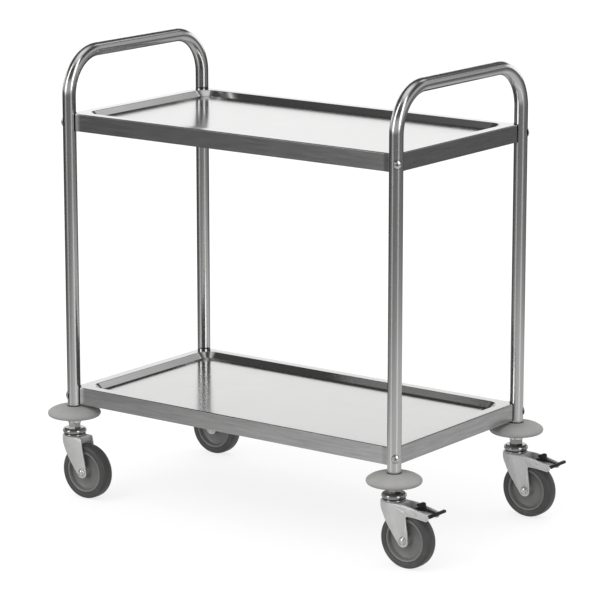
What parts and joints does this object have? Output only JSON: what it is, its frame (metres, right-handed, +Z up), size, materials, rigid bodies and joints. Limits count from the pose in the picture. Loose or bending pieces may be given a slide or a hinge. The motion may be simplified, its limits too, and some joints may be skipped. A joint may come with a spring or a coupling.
{
  "type": "shelf trolley",
  "caption": "Stainless steel shelf trolley with bent-tube end frames, pressed tray shelves, disc bumpers and swivel casters, some with a brake pedal.",
  "frame": {"origin": "on the floor, at the centre of the whole trolley's box; the mid-point of the four posts is 26.5 mm to its -X side", "axes": "+X along the trolley's length towards the end whose casters have brake pedals, +Y across it, +Z up; the side at -Y is the front"},
  "size_m": [1.057, 0.594, 1.0275],
  "materials": {
    "tube": "polished tube with fine lengthwise grain",
    "shelf": "satin sheet with fine lengthwise grain",
    "bolt": "bright",
    "bumper": "matte",
    "chrome": "bright plated",
    "zinc": "bright zinc plated",
    "core": "moulded",
    "tyre": "satin",
    "black": "moulded, slightly worn"
  },
  "bodies": {
    "frame": {"end_frame_left": "tube", "end_frame_right": "tube", "upper_shelf": "shelf", "upper_stiffener": "shelf", "upper_bolt_front_left": "bolt", "upper_bolt_front_right": "bolt", "upper_bolt_rear_left": "bolt", "upper_bolt_rear_right": "bolt", "lower_shelf": "shelf", "lower_stiffener": "shelf", "lower_bolt_front_left": "bolt", "lower_bolt_front_right": "bolt", "lower_bolt_rear_left": "bolt", "lower_bolt_rear_right": "bolt", "bumper_front_left": "bumper", "caster_head_front_left": "chrome", "stem_expander_front_left": "zinc", "bumper_front_right": "bumper", "caster_head_front_right": "chrome", "stem_expander_front_right": "zinc", "bumper_rear_left": "bumper", "caster_head_rear_left": "chrome", "stem_expander_rear_left": "zinc", "bumper_rear_right": "bumper", "caster_head_rear_right": "chrome", "stem_expander_rear_right": "zinc"},
    "caster_front_left": {"fork_front_left": "zinc", "lower_race_front_left": "chrome", "axle_bolt_front_left": "bolt", "axle_nut_front_left": "bolt", "axle_sleeve_front_left": "zinc"},
    "wheel_front_left": {"wheel_core_front_left": "core", "tyre_front_left": "tyre"},
    "caster_front_right": {"fork_front_right": "zinc", "lower_race_front_right": "chrome", "axle_bolt_front_right": "bolt", "axle_nut_front_right": "bolt", "axle_sleeve_front_right": "zinc", "brake_pin_front_right": "bolt"},
    "wheel_front_right": {"wheel_core_front_right": "core", "tyre_front_right": "tyre"},
    "brake_front_right": {"brake_lever_front_right": "zinc", "brake_pedal_front_right": "black"},
    "caster_rear_left": {"fork_rear_left": "zinc", "lower_race_rear_left": "chrome", "axle_bolt_rear_left": "bolt", "axle_nut_rear_left": "bolt", "axle_sleeve_rear_left": "zinc"},
    "wheel_rear_left": {"wheel_core_rear_left": "core", "tyre_rear_left": "tyre"},
    "caster_rear_right": {"fork_rear_right": "zinc", "lower_race_rear_right": "chrome", "axle_bolt_rear_right": "bolt", "axle_nut_rear_right": "bolt", "axle_sleeve_rear_right": "zinc", "brake_pin_rear_right": "bolt"},
    "wheel_rear_right": {"wheel_core_rear_right": "core", "tyre_rear_right": "tyre"},
    "brake_rear_right": {"brake_lever_rear_right": "zinc", "brake_pedal_rear_right": "black"}
  },
  "joints": [
    {"name": "swivel_front_left", "type": "hinge", "parent": "frame", "child": "caster_front_left", "pos_m": [-0.4685, -0.237, 0.148], "axis": [0, 0, 1], "continuous": true},
    {"name": "roll_front_left", "type": "hinge", "parent": "caster_front_left", "child": "wheel_front_left", "pos_m": [-0.4315, -0.237, 0.0625], "axis": [0, 1, 0], "continuous": true},
    {"name": "swivel_front_right", "type": "hinge", "parent": "frame", "child": "caster_front_right", "pos_m": [0.4155, -0.237, 0.148], "axis": [0, 0, 1], "continuous": true},
    {"name": "roll_front_right", "type": "hinge", "parent": "caster_front_right", "child": "wheel_front_right", "pos_m": [0.4525, -0.237, 0.0625], "axis": [0, 1, 0], "continuous": true},
    {"name": "brake_front_right", "type": "hinge", "parent": "caster_front_right", "child": "brake_front_right", "pos_m": [0.4865, -0.237, 0.125], "axis": [0, 1, 0], "range_deg": [0, 10]},
    {"name": "swivel_rear_left", "type": "hinge", "parent": "frame", "child": "caster_rear_left", "pos_m": [-0.4685, 0.237, 0.148], "axis": [0, 0, 1], "continuous": true},
    {"name": "roll_rear_left", "type": "hinge", "parent": "caster_rear_left", "child": "wheel_rear_left", "pos_m": [-0.4315, 0.237, 0.0625], "axis": [0, 1, 0], "continuous": true},
    {"name": "swivel_rear_right", "type": "hinge", "parent": "frame", "child": "caster_rear_right", "pos_m": [0.4155, 0.237, 0.148], "axis": [0, 0, 1], "continuous": true},
    {"name": "roll_rear_right", "type": "hinge", "parent": "caster_rear_right", "child": "wheel_rear_right", "pos_m": [0.4525, 0.237, 0.0625], "axis": [0, 1, 0], "continuous": true},
    {"name": "brake_rear_right", "type": "hinge", "parent": "caster_rear_right", "child": "brake_rear_right", "pos_m": [0.4865, 0.237, 0.125], "axis": [0, 1, 0], "range_deg": [0, 10]}
  ]
}
